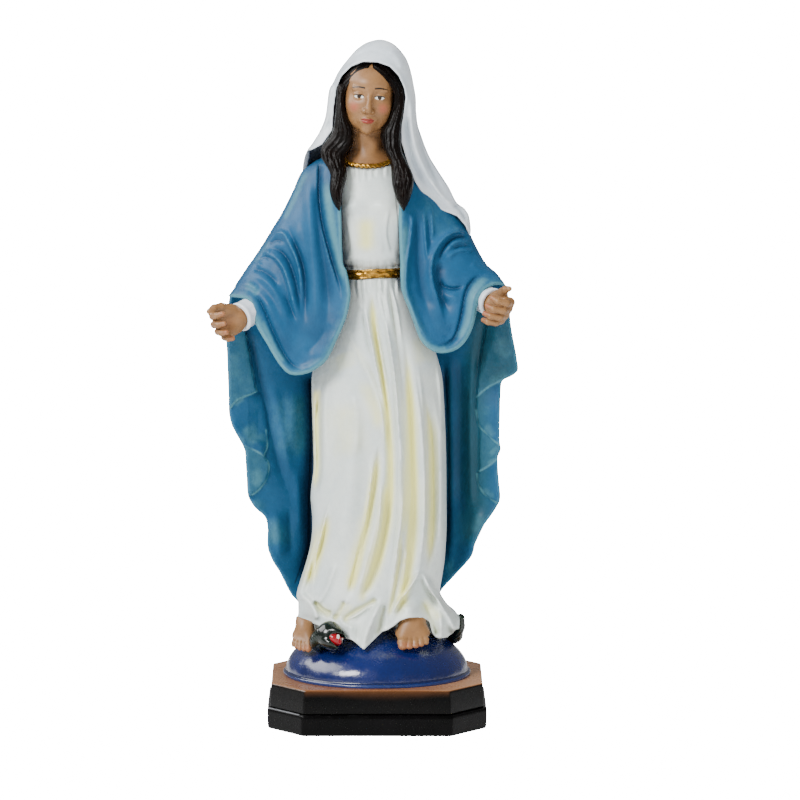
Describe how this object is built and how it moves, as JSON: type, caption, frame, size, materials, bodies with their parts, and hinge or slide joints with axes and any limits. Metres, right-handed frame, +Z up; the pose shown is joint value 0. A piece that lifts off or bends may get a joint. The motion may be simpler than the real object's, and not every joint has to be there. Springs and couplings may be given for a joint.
{
  "type": "devotional statue",
  "caption": "Standing robed and veiled figure with lowered open arms, on a globe with a serpent, on a stepped plinth with cut corners.",
  "frame": {"origin": "centre of the resting face, on the underside of the felt pad", "axes": "+Z up, the figure faces -Y, +X to the right of someone facing the figure"},
  "size_m": [0.1047, 0.07, 0.224],
  "materials": {
    "felt": "pressed felt",
    "plinth_paint": "gloss black paint on cast resin, slightly rubbed edges",
    "plinth_top_paint": "brown glaze over black paint on cast resin",
    "globe_paint": "gloss royal blue paint on cast resin",
    "serpent_paint": "gloss dark green paint on cast resin",
    "mouth_paint": "gloss red paint",
    "gown_paint": "off-white paint with a yellow wash in the folds",
    "gilt": "gold paint, satin",
    "skin_paint": "flesh paint with a blush wash",
    "hair_paint": "dark brown paint, satin",
    "veil_paint": "white paint with a pale blue wash",
    "mantle_paint": "mid blue paint with dark blue in the folds and pale brushed edges",
    "cuff_paint": "white paint",
    "pin_steel": "plain steel wire"
  },
  "bodies": {
    "root": {"felt_pad": "felt", "plinth_base": "plinth_paint", "plinth_cap": "plinth_top_paint", "globe": "globe_paint", "serpent": "serpent_paint", "serpent_mouth": "mouth_paint", "gown_skirt": "gown_paint", "gown_bodice": "gown_paint", "belt": "gilt", "neckline_trim": "gilt", "foot_right": "skin_paint", "foot_left": "skin_paint", "head": "skin_paint", "hair_cap": "hair_paint", "hair_lock_right": "hair_paint", "hair_lock_left": "hair_paint", "veil": "veil_paint", "mantle_back": "mantle_paint", "mantle_sleeve_right": "mantle_paint", "mantle_sleeve_left": "mantle_paint", "cuff_right": "cuff_paint", "cuff_left": "cuff_paint", "hand_right": "skin_paint", "hand_left": "skin_paint", "figure_pins": "pin_steel", "neck_pin": "pin_steel", "wrist_pins": "pin_steel"}
  },
  "joints": []
}
